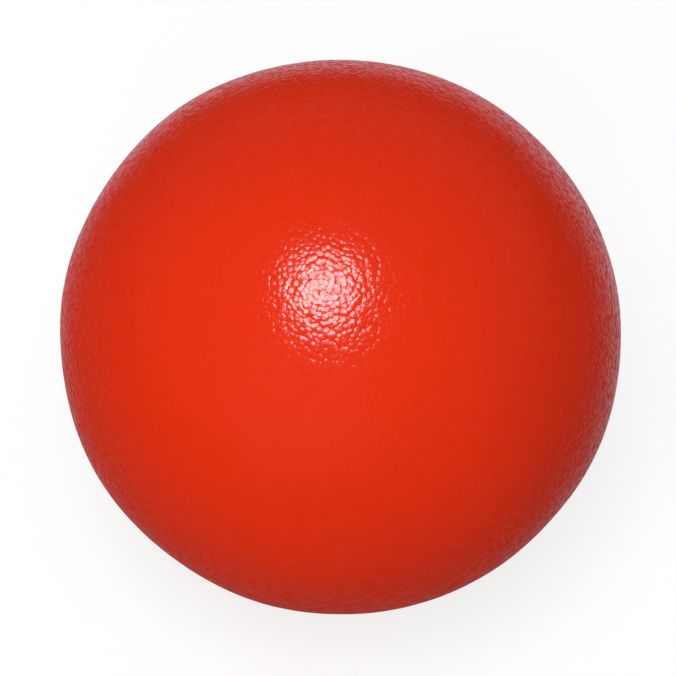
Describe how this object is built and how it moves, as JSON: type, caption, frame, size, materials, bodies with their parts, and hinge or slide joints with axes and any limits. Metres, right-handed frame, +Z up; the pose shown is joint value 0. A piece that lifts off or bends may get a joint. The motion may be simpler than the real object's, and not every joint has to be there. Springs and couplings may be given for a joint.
{
  "type": "dodgeball",
  "caption": "Round soft dodgeball: an open-cell foam core in a seamless, glossy, sprayed elastomer skin that stops it stinging and tearing.",
  "frame": {"origin": "centre of the ball", "axes": "+Z up, along the line of the holding spike, whose pin-hole is at the bottom; -Y faces the picture's camera"},
  "size_m": [0.178, 0.178, 0.178],
  "materials": {
    "foam": "matte",
    "tie_coat": "matte",
    "skin": "gloss"
  },
  "bodies": {
    "root": {"foam_core": "foam", "tie_coat": "tie_coat", "outer_skin": "skin"}
  },
  "joints": []
}
